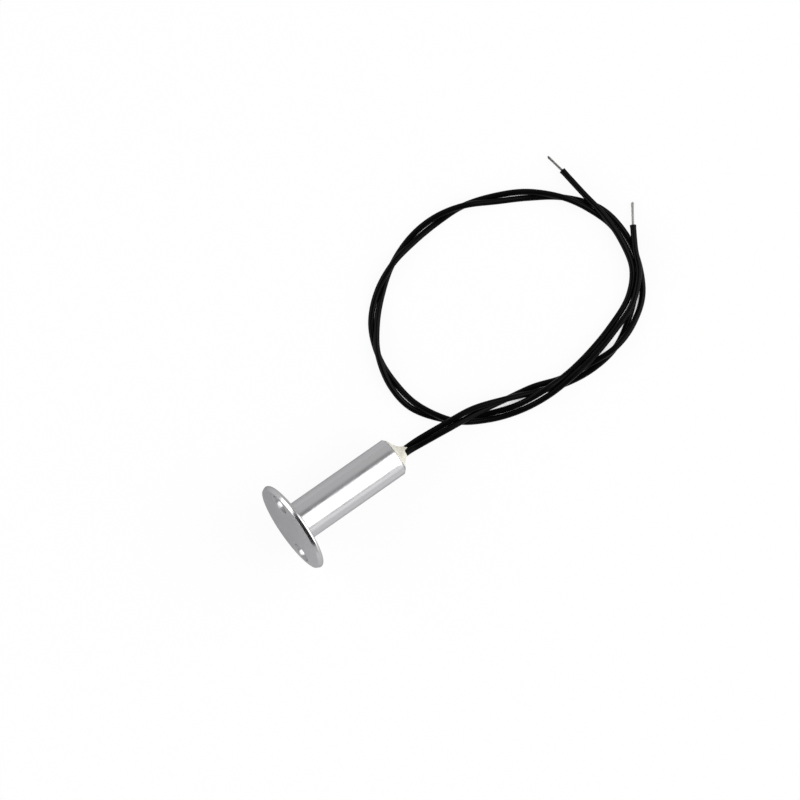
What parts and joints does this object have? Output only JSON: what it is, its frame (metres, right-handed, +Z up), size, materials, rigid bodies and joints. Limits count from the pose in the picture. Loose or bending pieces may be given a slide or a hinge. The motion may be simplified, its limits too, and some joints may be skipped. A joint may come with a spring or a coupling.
{
  "type": "flush-mount reed switch",
  "caption": "Flush-mount magnetic contact: a turned flanged barrel with countersunk screw holes, a glass reed switch potted inside it, and twisted leads with bare ends.",
  "frame": {"origin": "centre of the base of the box round the housing and its resin, on the floor that the part lies on", "axes": "+X from the flange towards the leads, along the housing as it lies; +Z up; the housing's own axis leans 12.78 degrees down towards +X"},
  "size_m": [0.0932, 0.0438, 0.0187],
  "materials": {
    "aluminium": "turned and polished",
    "epoxy": "cured casting resin",
    "glass": "drawn and fused",
    "nickel_iron": "drawn wire, plated",
    "solder": "reflowed solder",
    "sleeve": "extruded sleeve",
    "insulation": "extruded PVC, satin",
    "tinned_copper": "tinned strands"
  },
  "bodies": {
    "contact": {"housing": "aluminium", "potting": "epoxy", "glass_capsule": "glass", "front_reed_lead": "nickel_iron", "rear_reed_lead": "nickel_iron", "front_solder": "solder", "rear_solder": "solder", "front_sleeve": "sleeve", "lead_1": "insulation", "lead_1_inner_end": "tinned_copper", "lead_1_bare_end": "tinned_copper", "lead_2": "insulation", "lead_2_inner_end": "tinned_copper", "lead_2_bare_end": "tinned_copper"},
    "front_blade": {"front_reed_blade": "nickel_iron"},
    "rear_blade": {"rear_reed_blade": "nickel_iron"}
  },
  "joints": [
    {"name": "front_reed_flex", "type": "hinge", "parent": "contact", "child": "front_blade", "pos_m": [-0.00263, -0.00111, 0.00823], "axis": [-0.1644, 0.6691, -0.7247], "range_deg": [0, 0.85], "stiffness_Nm_per_rad": 0.05},
    {"name": "rear_reed_flex", "type": "hinge", "parent": "contact", "child": "rear_blade", "pos_m": [0.00492, -0.00136, 0.00628], "axis": [-0.1644, 0.6691, -0.7247], "range_deg": [0, 0.85], "stiffness_Nm_per_rad": 0.05}
  ]
}
